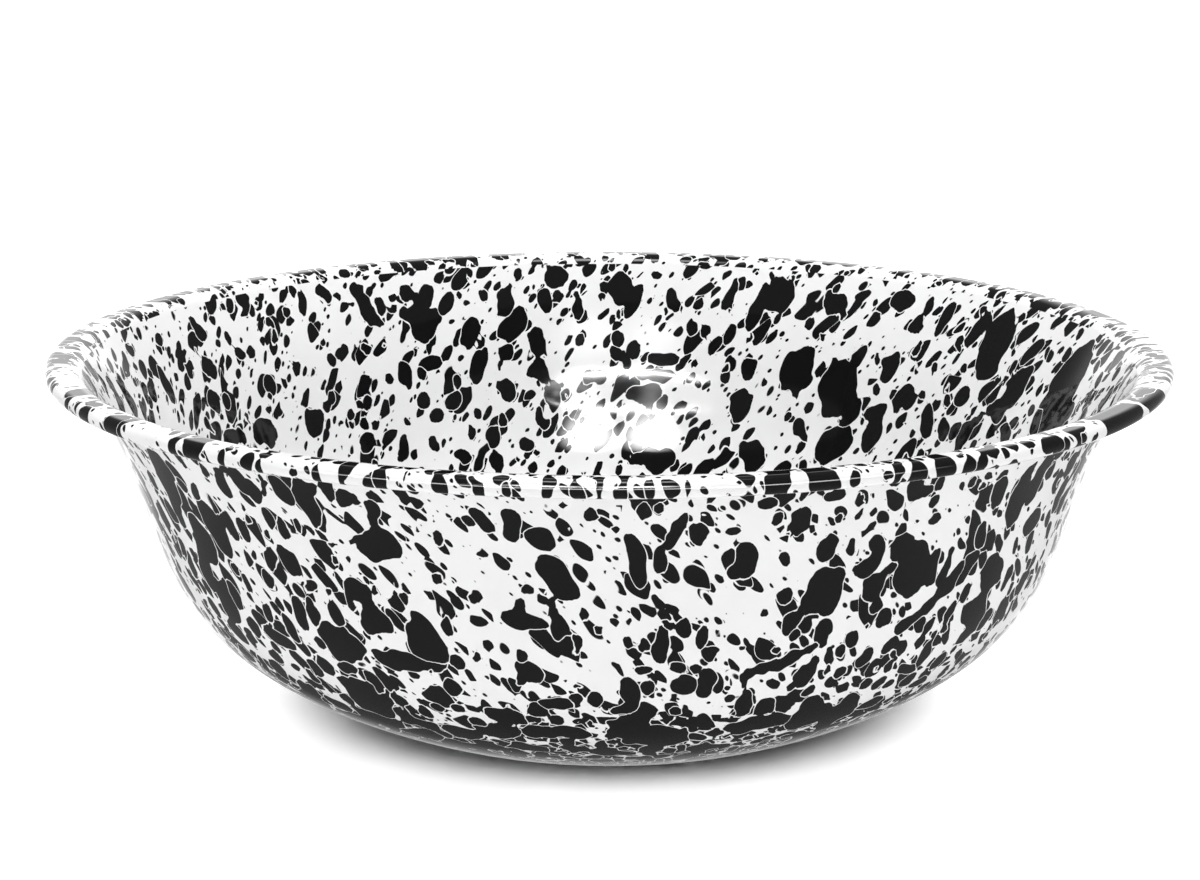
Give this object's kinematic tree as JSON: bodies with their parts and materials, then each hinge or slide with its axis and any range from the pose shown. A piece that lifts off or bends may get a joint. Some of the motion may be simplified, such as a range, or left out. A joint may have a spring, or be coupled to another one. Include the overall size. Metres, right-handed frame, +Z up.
{
  "type": "enamel basin bowl",
  "caption": "Wide round enamelled steel basin bowl with a flared lip, a rolled rim and black splatter on white enamel.",
  "frame": {"origin": "on the basin's axis, at the level of the resting ring under the base", "axes": "+Z up along the basin's axis; the side that faces the viewer in the picture is -Y"},
  "size_m": [0.3559, 0.356, 0.115],
  "materials": {
    "sheet_steel": "satin",
    "splatter_enamel": "gloss"
  },
  "bodies": {
    "root": {"steel_shell": "sheet_steel", "inside_enamel": "splatter_enamel", "rim_enamel": "splatter_enamel", "outside_enamel": "splatter_enamel"}
  },
  "joints": []
}
